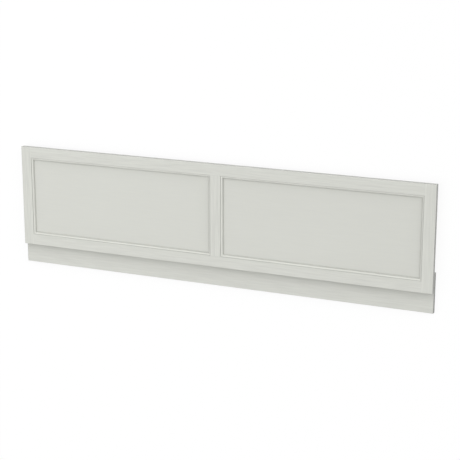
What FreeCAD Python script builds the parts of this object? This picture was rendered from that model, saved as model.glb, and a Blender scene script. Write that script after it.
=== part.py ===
import FreeCAD, Part
import math
import os
import Sketcher

# Bath front panel: a framed panel with two recessed fields, and a plinth board behind its lower edge.
# It lies on its back: X runs along the length, Y from the plinth up to the top edge, Z out of the front.

doc = FreeCAD.newDocument("bath_panel")
sheet = doc.addObject("Spreadsheet::Sheet", "Sizes")

# Driving dimensions, in millimetres
DRIVING_SIZES = [
    ("panel_length", 1700),
    ("panel_height", 400),
    ("stile_face", 43),
    ("rail_face", 43),
    ("centre_face", 42),
    ("moulding_step", 2.2),
    ("moulding_flat", 3.2),
    ("ovolo_radius", 5.6),
    ("ovolo_foot", 1.2),
    ("groove_clearance", 0.2),
    ("back_lip", 2.8),
    ("field_thickness", 6),
    ("field_edge_gap", 1),
    ("plinth_drop", 78),
    ("plinth_overlap", 72),
    ("plinth_thickness", 18),
    ("arris_radius", 1.2),
]
for row, (alias, size) in enumerate(DRIVING_SIZES, start=1):
    sheet.set(f"A{row}", alias.replace("_", " "))
    sheet.set(f"B{row}", str(size))
    sheet.setAlias(f"B{row}", alias)
doc.recompute()

# Levels through the frame's thickness, from its back face to its front face
GROOVE_BACK = "Sizes.back_lip"
FIELD_FRONT = f"({GROOVE_BACK} + Sizes.groove_clearance + Sizes.field_thickness)"
OVOLO_FOOT = f"({FIELD_FRONT} + Sizes.ovolo_foot)"
MOULDING_FRONT = f"({OVOLO_FOOT} + Sizes.ovolo_radius)"
FRAME_FRONT = f"({MOULDING_FRONT} + Sizes.moulding_step)"

# Places across the panel, with the origin under the middle of the whole outline
MOULDING_WIDTH = "(Sizes.moulding_flat + Sizes.ovolo_radius)"
PANEL_TOP = "((Sizes.panel_height + Sizes.plinth_drop) / 2)"
PANEL_BOTTOM = f"({PANEL_TOP} - Sizes.panel_height)"
PANEL_MIDDLE = f"({PANEL_TOP} - Sizes.panel_height / 2)"
PANEL_END = "(Sizes.panel_length / 2)"

HALF_TURN = FreeCAD.Rotation(FreeCAD.Vector(0, 0, 1), 180)
NEAR = 1e-4


def value(expression):
    return float(sheet.evalExpression(expression))


def place(piece, turn=None, **base):
    """Turn a piece, and bind its place along each axis that is named to an expression."""
    if turn:
        piece.Placement = FreeCAD.Placement(FreeCAD.Vector(), turn)
    for axis, expression in base.items():
        piece.setExpression(f"Placement.Base.{axis}", expression)


def pin_corner(sketch, index, corner):
    """Hold the start of an outline's edge at the two expressions of its corner."""
    for kind, axis, expression in (("DistanceX", -2, corner[0]), ("DistanceY", -1, corner[1])):
        if expression == "0":
            sketch.addConstraint(Sketcher.Constraint("PointOnObject", index, 1, axis))
        else:
            pin = sketch.addConstraint(Sketcher.Constraint(kind, -1, 1, index, 1, value(expression)))
            sketch.setExpression(f"Constraints[{pin}]", expression)


def draw_outline(sketch, corners):
    """Draw a closed outline; a corner with a radius starts a quarter round that turns to the left."""
    points = [FreeCAD.Vector(value(corner[0]), value(corner[1]), 0) for corner in corners]
    for index, corner in enumerate(corners):
        start = points[index]
        end = points[(index + 1) % len(points)]
        if len(corner) == 2:
            sketch.addGeometry(Part.LineSegment(start, end))
        else:
            centre = FreeCAD.Vector(end.x, start.y, 0)
            circle = Part.Circle(centre, FreeCAD.Vector(0, 0, 1), value(corner[2]))
            sketch.addGeometry(Part.ArcOfCircle(circle, 0, math.pi / 2))
    for index, corner in enumerate(corners):
        following = (index + 1) % len(corners)
        sketch.addConstraint(Sketcher.Constraint("Coincident", index, 2, following, 1))
        pin_corner(sketch, index, corner)
        if len(corner) > 2:
            rounding = sketch.addConstraint(Sketcher.Constraint("Radius", index, value(corner[2])))
            sketch.setExpression(f"Constraints[{rounding}]", corner[2])


def origin_plane(body, role):
    return next(feature for feature in body.Origin.OriginFeatures if feature.Role == role)


def make_bar(label, role, corners, length):
    """Make a bar of one section, drawn on an origin plane and padded evenly to both sides of it."""
    body = doc.addObject("PartDesign::Body", label)
    sketch = body.newObject("Sketcher::SketchObject", f"{label}_section")
    sketch.AttachmentSupport = [(origin_plane(body, role), "")]
    sketch.MapMode = "FlatFace"
    draw_outline(sketch, corners)
    pad = body.newObject("PartDesign::Pad", f"{label}_pad")
    pad.Profile = sketch
    pad.SideType = "Symmetric"
    pad.setExpression("Length", length)
    doc.recompute()
    return body, pad


def ease_edges(body, pad, is_eased):
    """Round off the edges whose end points pass the test."""
    names = [
        f"Edge{number}"
        for number, edge in enumerate(pad.Shape.Edges, start=1)
        if is_eased([vertex.Point for vertex in edge.Vertexes])
    ]
    fillet = body.newObject("PartDesign::Fillet", f"{body.Name}_arris")
    fillet.Base = (pad, names)
    fillet.setExpression("Radius", "Sizes.arris_radius")
    doc.recompute()


def all_at(coordinates, level):
    return all(abs(coordinate - level) < NEAR for coordinate in coordinates)


def member_section(face):
    """Section of a frame member: square at zero, and moulded past its face over a groove as deep."""
    inner = f"({face} + {MOULDING_WIDTH})"
    ovolo_top = f"({inner} - Sizes.ovolo_radius)"
    return [
        ("0", "0"),
        (inner, "0"),
        (inner, GROOVE_BACK),
        (face, GROOVE_BACK),
        (face, FIELD_FRONT),
        (inner, FIELD_FRONT),
        (inner, OVOLO_FOOT, "Sizes.ovolo_radius"),
        (ovolo_top, MOULDING_FRONT),
        (face, MOULDING_FRONT),
        (face, FRAME_FRONT),
        ("0", FRAME_FRONT),
    ]


def make_stile(label):
    """An outer stile: its moulding and groove run its whole height, and its outer arrises are eased."""
    body, pad = make_bar(label, "XZ_Plane", member_section("Sizes.stile_face"), "Sizes.panel_height")
    front = value(FRAME_FRONT)
    half_height = value("Sizes.panel_height / 2")

    def is_eased(points):
        at_front = all_at([point.z for point in points], front)
        at_side = all_at([point.x for point in points], 0)
        at_end = any(all_at([point.y for point in points], end) for end in (-half_height, half_height))
        return [at_front, at_side, at_end].count(True) == 2

    ease_edges(body, pad, is_eased)
    return body


def make_rail_bar(label):
    """A rail before scribing: it reaches over the stiles' mouldings to their faces."""
    length = "(Sizes.panel_length - 2 * Sizes.stile_face)"
    body, pad = make_bar(label, "YZ_Plane", member_section("Sizes.rail_face"), length)
    front = value(FRAME_FRONT)

    def is_eased(points):
        return all_at([point.z for point in points], front) and all_at([point.y for point in points], 0)

    ease_edges(body, pad, is_eased)
    return body


def make_centre_bar(label):
    """The centre stile before scribing: half of its section, mirrored, so both edges are moulded."""
    length = "(Sizes.panel_height - 2 * Sizes.rail_face)"
    body, pad = make_bar(label, "XZ_Plane", member_section("(Sizes.centre_face / 2)"), length)
    mirror = body.newObject("PartDesign::Mirrored", f"{label}_mirror")
    mirror.Originals = [pad]
    mirror.MirrorPlane = (origin_plane(body, "YZ_Plane"), [""])
    body.Tip = mirror
    doc.recompute()
    return body


def scribe(label, bar, neighbours):
    """Cut a bar's ends over the mouldings, and into the grooves, of the members that it meets."""
    meeting = doc.addObject("Part::Compound", f"{label}_meets")
    meeting.Links = neighbours
    member = doc.addObject("Part::Cut", label)
    member.Base = bar
    member.Tool = meeting
    doc.recompute()
    return member


def make_board(label, width, height, thickness):
    """A plain board, centred on its length, with its lower back edge on the X axis."""
    section = [("0", "0"), (height, "0"), (height, thickness), ("0", thickness)]
    return make_bar(label, "YZ_Plane", section, width)


def make_field(label, side):
    """A thin board seated against the fronts of the grooves, with a gap at each groove's floor."""
    outer_edge = f"({PANEL_END} - Sizes.stile_face - Sizes.field_edge_gap)"
    inner_edge = "(Sizes.centre_face / 2 + Sizes.field_edge_gap)"
    width = f"({outer_edge} - {inner_edge})"
    height = "(Sizes.panel_height - 2 * (Sizes.rail_face + Sizes.field_edge_gap))"
    body, _ = make_board(label, width, height, "Sizes.field_thickness")
    place(
        body,
        x=f"{side} * ({outer_edge} + {inner_edge}) / 2",
        y=f"{PANEL_BOTTOM} + Sizes.rail_face + Sizes.field_edge_gap",
        z=f"Sizes.plinth_thickness + {FIELD_FRONT} - Sizes.field_thickness",
    )
    return body


def make_plinth(label):
    """The plinth board: it lies against the frame's back and drops below the frame's lower edge."""
    height = "(Sizes.plinth_drop + Sizes.plinth_overlap)"
    body, pad = make_board(label, "Sizes.panel_length", height, "Sizes.plinth_thickness")
    front = value("Sizes.plinth_thickness")

    def is_eased(points):
        return all_at([point.z for point in points], front)

    ease_edges(body, pad, is_eased)
    place(body, y=f"-{PANEL_TOP}")
    return body


# The frame: stiles run through, rails are scribed to them, and the centre stile is scribed to the rails
left_stile = make_stile("left_stile")
place(left_stile, x=f"-{PANEL_END}", y=PANEL_MIDDLE, z="Sizes.plinth_thickness")
right_stile = make_stile("right_stile")
place(right_stile, turn=HALF_TURN, x=PANEL_END, y=PANEL_MIDDLE, z="Sizes.plinth_thickness")

bottom_bar = make_rail_bar("bottom_rail_bar")
place(bottom_bar, y=PANEL_BOTTOM, z="Sizes.plinth_thickness")
top_bar = make_rail_bar("top_rail_bar")
place(top_bar, turn=HALF_TURN, y=PANEL_TOP, z="Sizes.plinth_thickness")
centre_bar = make_centre_bar("centre_stile_bar")
place(centre_bar, y=PANEL_MIDDLE, z="Sizes.plinth_thickness")
doc.recompute()

bottom_rail = scribe("bottom_rail", bottom_bar, [left_stile, right_stile])
top_rail = scribe("top_rail", top_bar, [left_stile, right_stile])
centre_stile = scribe("centre_stile", centre_bar, [bottom_rail, top_rail])

# The boards: one in each opening of the frame, and the plinth behind
left_field = make_field("left_field", -1)
right_field = make_field("right_field", 1)
plinth = make_plinth("plinth")
doc.recompute()

PIECES = [left_stile, right_stile, bottom_rail, top_rail, centre_stile, left_field, right_field, plinth]

# Test every object, then write one file a piece
for item in doc.Objects:
    if "Invalid" in item.State or "Error" in item.State:
        raise RuntimeError(f"{item.Label} failed to build")
for piece in PIECES:
    if piece.Shape.isNull() or not piece.Shape.isValid():
        raise RuntimeError(f"{piece.Label} has no valid shape")
    if len(piece.Shape.Solids) != 1:
        raise RuntimeError(f"{piece.Label} is not one solid")

os.makedirs("parts", exist_ok=True)
for piece in PIECES:
    piece.Shape.exportStep(f"parts/{piece.Label}.step")
    print(piece.Label, round(piece.Shape.Volume), "cubic mm")
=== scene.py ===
import math

import bpy
from mathutils import Matrix, Vector


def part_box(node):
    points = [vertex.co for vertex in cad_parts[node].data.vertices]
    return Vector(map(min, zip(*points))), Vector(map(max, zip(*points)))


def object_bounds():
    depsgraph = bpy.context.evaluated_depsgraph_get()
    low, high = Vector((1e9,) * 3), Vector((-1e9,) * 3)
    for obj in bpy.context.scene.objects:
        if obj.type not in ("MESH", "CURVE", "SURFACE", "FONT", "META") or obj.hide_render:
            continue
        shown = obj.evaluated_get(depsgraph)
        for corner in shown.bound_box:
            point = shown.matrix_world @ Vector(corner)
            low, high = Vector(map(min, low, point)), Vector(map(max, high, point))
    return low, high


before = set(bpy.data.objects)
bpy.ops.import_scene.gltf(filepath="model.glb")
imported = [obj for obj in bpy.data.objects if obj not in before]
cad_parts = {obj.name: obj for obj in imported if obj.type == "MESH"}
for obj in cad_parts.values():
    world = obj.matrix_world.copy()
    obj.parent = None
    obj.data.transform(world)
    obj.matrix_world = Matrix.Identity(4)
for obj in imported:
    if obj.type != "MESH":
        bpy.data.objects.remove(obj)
cad_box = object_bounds()

# Camera: the panel is seen a little from its right and from above its top edge, through a long lens
VIEW_TURN = math.radians(23.957)
VIEW_RISE = math.radians(14.814)
VIEW_DISTANCE = 4.999
VIEW_TARGET = Vector((0.0608, -0.0083, 0.036))
VIEW_REACH = 100.0
SENSOR_WIDTH_MM = 36.0
LENS_MM = 103.91

# Floor: a pale table that is mostly lit from within
FLOOR_SIZE = 60.0
FLOOR_COLOUR = (0.10, 0.10, 0.10, 1.0)
FLOOR_ROUGHNESS = 0.9
FLOOR_GLOW = 0.904

# Light: an even dome, soft lights in it from the lower left, upper right and top, and a fill from the left
WHITE = (1.0, 1.0, 1.0, 1.0)
DOME_STRENGTH = 0.32
SOFT_LIGHTS = [
    {"from": (-0.410, -0.287, 0.866), "strength": 1.8},
    {"from": (0.720, 0.562, 0.407), "strength": 2.4},
    {"from": (0.0, 0.866, 0.5), "strength": 1.0},
]
SOFT_LIGHT_SHARPNESS = 8.0
FILL_PLACE = Vector((-1.3, 0.5, 2.0))
FILL_AIM = Vector((-0.6, 0.0, 0.0))
FILL_SIZE = 1.2
FILL_POWER = 3.4

# Paint: a satin pale grey with a little green in it, in linear colour, with faint streaks and low relief
PAINT = Vector((0.645, 0.652, 0.605))
# The plinth is a shade darker: partly its own deeper tone, partly painted shade under the panel
PLINTH_PAINT_AND_SHADE = PAINT * 0.972
STREAK_CONTRAST = 0.06
STREAK_SPAN = (0.25, 0.75)
PATCH_SPAN = (0.3, 0.7)
ROUGHNESS_SPAN = (0.40, 0.50)
BUMP_STRENGTH = 0.28
BUMP_DEPTH = 0.0004

# Noises in the paint: cycles a metre along the grain and across it, own shift, and octaves of detail
NOISES = {
    "fine": {"along": 9.0, "across": 330.0, "shift": 0.0, "detail": 3.0},
    "broad": {"along": 10.0, "across": 180.0, "shift": 0.5, "detail": 2.0},
    "pores": {"along": 45.0, "across": 1000.0, "shift": 0.75, "detail": 2.0},
    "patches": {"along": 4.0, "across": 4.0, "shift": 0.25, "detail": 2.0},
    "peel": {"along": 620.0, "across": 620.0, "shift": 0.0, "detail": 1.0},
}
NOISE_STEP = Vector((7.3, 3.1, 1.7))
NOISE_ROUGHNESS = 0.55
TONE_SHARES = {"fine": 0.35, "broad": 0.55, "patches": 0.10}

# Grain: the axis that it runs along on each piece, and how strong it is there
ALONG_X = 0
ALONG_Y = 1
GRAIN = {
    "left_stile": (ALONG_Y, 1.9),
    "right_stile": (ALONG_Y, 1.2),
    "centre_stile": (ALONG_Y, 1.9),
    "bottom_rail": (ALONG_X, 1.7),
    "top_rail": (ALONG_X, 1.7),
    "left_field": (ALONG_X, 0.3),
    "right_field": (ALONG_X, 0.3),
    "plinth": (ALONG_X, 1.4),
}

# Sides of a piece, each as an axis and the way that it faces
TO_LEFT = (ALONG_X, -1)
TO_RIGHT = (ALONG_X, 1)
DOWN = (ALONG_Y, -1)
UP = (ALONG_Y, 1)
ALL_SIDES = [TO_LEFT, TO_RIGHT, DOWN, UP]

# Painted light and shade to multiply the paint with, deeper in corners, quirks and on ends and lighter on
# crests; millimetres inwards from a side, and the factor there
# Mouldings, by the way that each faces: painted shade in the quirk and mostly at the foot, and a painted
# highlight on the crest except where it faces left
MOULDING_TO_RIGHT = [
    (0, 0.88), (2, 0.93), (3.4, 1.07), (6.4, 1.15), (7.4, 0.85), (8.9, 0.79), (9.2, 1.03), (16, 1),
]
MOULDING_UP = [
    (0, 0.87), (2, 0.93), (3.4, 1.08), (6.4, 1.18), (7.4, 0.86), (8.9, 0.79), (9.2, 1.01), (16, 1),
]
MOULDING_TO_LEFT = [
    (0, 0.95), (2, 0.96), (3.4, 0.96), (6.2, 0.92), (7.2, 0.80), (8.9, 0.70), (9.2, 1.05), (22, 1),
]
MOULDING_DOWN = [
    (0, 1.03), (2, 1.06), (3.4, 1.10), (6.4, 1.11), (7.4, 0.88), (8.9, 0.80), (9.2, 1.01), (16, 1),
]
# Painted highlight along the panel's top edge
TOP_EDGE = [(0, 1.08), (1.2, 1.05), (2.5, 1.02), (8, 1.015), (16, 1)]
# Painted shade on the panel's ends
PANEL_END = [(0, 0.74), (0.5, 0.78), (1.2, 0.95), (2, 1)]
# Painted shade on the fields, deepest beside the mouldings
FIELD_BORDER = [(0, 0.85), (2, 0.90), (4, 0.955), (8, 0.975), (18, 0.987), (60, 1)]
# Painted shadow on the plinth's face, deepest under the panel's edge
PLINTH_FACE = [(0, 1.01), (30, 1), (45, 0.98), (60, 0.945), (78, 0.92), (100, 0.92)]
# Painted shade on the plinth's ends
PLINTH_END = [(0, 0.62), (0.5, 0.68), (1.2, 0.93), (2, 1)]
MM_PER_METRE = 1000

# Sides of each piece that carry painted shade and highlights, and the stiles that each field shows between
PAINTED_LIGHT_SIDES = {
    "left_stile": [(MOULDING_TO_RIGHT, [TO_RIGHT]), (TOP_EDGE, [UP]), (PANEL_END, [TO_LEFT])],
    "right_stile": [(MOULDING_TO_LEFT, [TO_LEFT]), (TOP_EDGE, [UP]), (PANEL_END, [TO_RIGHT])],
    "centre_stile": [(MOULDING_TO_LEFT, [TO_LEFT]), (MOULDING_TO_RIGHT, [TO_RIGHT])],
    "bottom_rail": [(MOULDING_UP, [UP])],
    "top_rail": [(MOULDING_DOWN, [DOWN]), (TOP_EDGE, [UP])],
    "left_field": [(FIELD_BORDER, ALL_SIDES)],
    "right_field": [(FIELD_BORDER, ALL_SIDES)],
    "plinth": [(PLINTH_FACE, [DOWN]), (PLINTH_END, [TO_LEFT, TO_RIGHT])],
}
FIELD_STILES = {
    "left_field": ("left_stile", "centre_stile"),
    "right_field": ("centre_stile", "right_stile"),
}


class Tree:
    """Adds nodes to a shader tree; each input is given as a plain value or as another node's output."""

    def __init__(self, owner):
        owner.use_nodes = True
        self.nodes = owner.node_tree.nodes
        self.links = owner.node_tree.links

    def feed(self, socket, given):
        if isinstance(given, bpy.types.NodeSocket):
            self.links.new(given, socket)
        else:
            socket.default_value = given

    def add(self, kind, output, **inputs):
        node = self.nodes.new(kind)
        for name, given in inputs.items():
            self.feed(node.inputs[name.replace("_", " ")], given)
        return node.outputs[output]

    def math(self, operation, *given):
        node = self.nodes.new("ShaderNodeMath")
        node.operation = operation
        for socket, value in zip(node.inputs, given):
            self.feed(socket, value)
        return node.outputs["Value"]

    def multiply(self, *colours):
        node = self.nodes.new("ShaderNodeMix")
        node.data_type = "RGBA"
        node.blend_type = "MULTIPLY"
        node.inputs["Factor"].default_value = 1.0
        sockets = [socket for socket in node.inputs if socket.type == "RGBA"]
        for socket, colour in zip(sockets, colours):
            self.feed(socket, colour)
        return next(socket for socket in node.outputs if socket.type == "RGBA")

    def noise(self, place, axis, offset, along, across, shift, detail):
        scale = Vector((across, across, across))
        scale[axis] = along
        start = NOISE_STEP * (offset + shift)
        moved = self.add("ShaderNodeMapping", "Vector", Vector=place, Scale=scale, Location=start)
        return self.add(
            "ShaderNodeTexNoise", "Fac", Vector=moved, Scale=1.0, Detail=detail, Roughness=NOISE_ROUGHNESS
        )


def streaked_paint(tree, noises, base, strength):
    """A colour broken up into darker and lighter streaks."""
    brightness = 0.0
    for name, share in TONE_SHARES.items():
        brightness = tree.math("MULTIPLY_ADD", noises[name], share, brightness)
    ramp = tree.nodes.new("ShaderNodeValToRGB")
    contrasts = (-STREAK_CONTRAST, STREAK_CONTRAST)
    for stop, position, contrast in zip(ramp.color_ramp.elements, STREAK_SPAN, contrasts):
        stop.position = position
        stop.color = (*(base * (1 + contrast * strength)), 1.0)
    tree.feed(ramp.inputs["Fac"], brightness)
    return ramp.outputs["Color"]


def painted_light_box(node):
    """Lowest and highest corner of a piece, or of the part of a field that shows between the mouldings."""
    if node not in FIELD_STILES:
        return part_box(node)
    left, right = FIELD_STILES[node]
    low = [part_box(left)[1][0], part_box("bottom_rail")[1][1]]
    high = [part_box(right)[0][0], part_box("top_rail")[0][1]]
    return low, high


def depth_from(tree, place, box, sides):
    """Distance in metres inwards from the nearest of some sides of a box."""
    low, high = box
    split = tree.nodes.new("ShaderNodeSeparateXYZ")
    tree.feed(split.inputs["Vector"], place)
    nearest = None
    for axis, way in sides:
        along = split.outputs[axis]
        if way > 0:
            depth = tree.math("SUBTRACT", high[axis], along)
        else:
            depth = tree.math("SUBTRACT", along, low[axis])
        nearest = depth if nearest is None else tree.math("MINIMUM", nearest, depth)
    return nearest


def painted_light_and_shade(tree, depth, painted_light_stops):
    """Painted light and shade: a grey that follows the table by depth, to multiply the paint with."""
    reach = painted_light_stops[-1][0]
    ramp = tree.nodes.new("ShaderNodeValToRGB")
    stops = ramp.color_ramp.elements
    for millimetres, brightness in painted_light_stops[1:-1]:
        stops.new(millimetres / reach)
    for stop, (millimetres, brightness) in zip(stops, painted_light_stops):
        stop.color = (brightness, brightness, brightness, 1.0)
    tree.feed(ramp.inputs["Fac"], tree.math("DIVIDE", depth, reach / MM_PER_METRE))
    return ramp.outputs["Color"]


def sheen(tree, noises):
    """Satin roughness that drifts a little from patch to patch."""
    lowest, highest = PATCH_SPAN
    smoothest, roughest = ROUGHNESS_SPAN
    return tree.add(
        "ShaderNodeMapRange",
        "Result",
        Value=noises["patches"],
        From_Min=lowest,
        From_Max=highest,
        To_Min=smoothest,
        To_Max=roughest,
    )


def relief(tree, noises, strength):
    """Shallow streaks and pores of the grain, under the fine texture of the paint itself."""
    height = noises["peel"]
    for name in ("fine", "pores"):
        height = tree.math("MULTIPLY_ADD", noises[name], strength, height)
    return tree.add("ShaderNodeBump", "Normal", Strength=BUMP_STRENGTH, Distance=BUMP_DEPTH, Height=height)


def painted_board(node, axis, strength, offset):
    """Satin paint over board, with the grain along one axis, and painted shade and highlights along the
    piece's sides.
    """
    material = bpy.data.materials.new(f"paint_{node}")
    tree = Tree(material)
    place = tree.add("ShaderNodeTexCoord", "Object")
    noises = {name: tree.noise(place, axis, offset, **noise) for name, noise in NOISES.items()}
    base = PLINTH_PAINT_AND_SHADE if node == "plinth" else PAINT
    paint = streaked_paint(tree, noises, base, strength)
    box = painted_light_box(node)
    # Painted shade and highlights along the piece's sides, multiplied into the paint
    for painted_light_stops, sides in PAINTED_LIGHT_SIDES[node]:
        depth = depth_from(tree, place, box, sides)
        paint = tree.multiply(paint, painted_light_and_shade(tree, depth, painted_light_stops))
    shader = tree.nodes["Principled BSDF"]
    tree.feed(shader.inputs["Base Color"], paint)
    tree.feed(shader.inputs["Roughness"], sheen(tree, noises))
    tree.feed(shader.inputs["Normal"], relief(tree, noises, strength))
    return material


def dress_nodes():
    """Gives each piece its own paint, whose noises start at another place on each."""
    for offset, (node, (axis, strength)) in enumerate(GRAIN.items(), start=1):
        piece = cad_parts[node]
        piece.data.materials.clear()
        piece.data.materials.append(painted_board(node, axis, strength, offset))


def add_floor():
    """A pale table that stays white under the panel, and throws no light back onto it."""
    half = FLOOR_SIZE / 2
    level = cad_box[0][2]
    mesh = bpy.data.meshes.new("floor")
    corners = [(-half, -half, level), (half, -half, level), (half, half, level), (-half, half, level)]
    mesh.from_pydata(corners, [], [(0, 1, 2, 3)])
    floor = bpy.data.objects.new("floor", mesh)
    floor.visible_diffuse = False
    bpy.context.scene.collection.objects.link(floor)
    material = bpy.data.materials.new("floor_white")
    material.use_nodes = True
    shader = material.node_tree.nodes["Principled BSDF"]
    shader.inputs["Base Color"].default_value = FLOOR_COLOUR
    shader.inputs["Roughness"].default_value = FLOOR_ROUGHNESS
    shader.inputs["Specular IOR Level"].default_value = 0.0
    shader.inputs["Emission Color"].default_value = WHITE
    shader.inputs["Emission Strength"].default_value = FLOOR_GLOW
    mesh.materials.append(material)


def add_world():
    """An even dome of light above the floor, with soft lights in it that fade evenly to all sides."""
    world = bpy.data.worlds.new("studio")
    bpy.context.scene.world = world
    tree = Tree(world)
    direction = tree.add("ShaderNodeTexCoord", "Generated")
    radiance = DOME_STRENGTH
    for light in SOFT_LIGHTS:
        towards = tree.nodes.new("ShaderNodeVectorMath")
        towards.operation = "DOT_PRODUCT"
        tree.feed(towards.inputs[0], direction)
        tree.feed(towards.inputs[1], light["from"])
        facing = tree.math("MAXIMUM", towards.outputs["Value"], 0.0)
        lobe = tree.math("POWER", facing, SOFT_LIGHT_SHARPNESS)
        radiance = tree.math("MULTIPLY_ADD", lobe, light["strength"], radiance)
    height = tree.add("ShaderNodeSeparateXYZ", "Z", Vector=direction)
    above_floor = tree.math("GREATER_THAN", height, 0.0)
    background = tree.nodes["Background"]
    background.inputs["Color"].default_value = WHITE
    tree.feed(background.inputs["Strength"], tree.math("MULTIPLY", radiance, above_floor))


def add_fill():
    """A weak square light that lifts the panel's left."""
    lamp = bpy.data.lights.new("left_fill", "AREA")
    lamp.shape = "SQUARE"
    lamp.size = FILL_SIZE
    lamp.energy = FILL_POWER
    fill = bpy.data.objects.new("left_fill", lamp)
    fill.location = FILL_PLACE
    fill.rotation_euler = (FILL_AIM - FILL_PLACE).to_track_quat("-Z", "Y").to_euler()
    bpy.context.scene.collection.objects.link(fill)


def add_camera():
    """A camera that is turned to the panel's right and raised towards its top edge."""
    right = Vector((math.cos(VIEW_TURN), 0, -math.sin(VIEW_TURN)))
    back = Vector((
        math.sin(VIEW_TURN) * math.cos(VIEW_RISE),
        math.sin(VIEW_RISE),
        math.cos(VIEW_TURN) * math.cos(VIEW_RISE),
    ))
    up = back.cross(right)
    data = bpy.data.cameras.new("camera")
    data.sensor_width = SENSOR_WIDTH_MM
    data.lens = LENS_MM
    data.clip_end = VIEW_REACH
    camera = bpy.data.objects.new("camera", data)
    turn = Matrix((right, up, back)).transposed()
    camera.matrix_world = Matrix.Translation(VIEW_TARGET + back * VIEW_DISTANCE) @ turn.to_4x4()
    bpy.context.scene.collection.objects.link(camera)
    bpy.context.scene.camera = camera


dress_nodes()
add_floor()
add_world()
add_fill()
add_camera()
bpy.context.scene.view_settings.view_transform = "Standard"
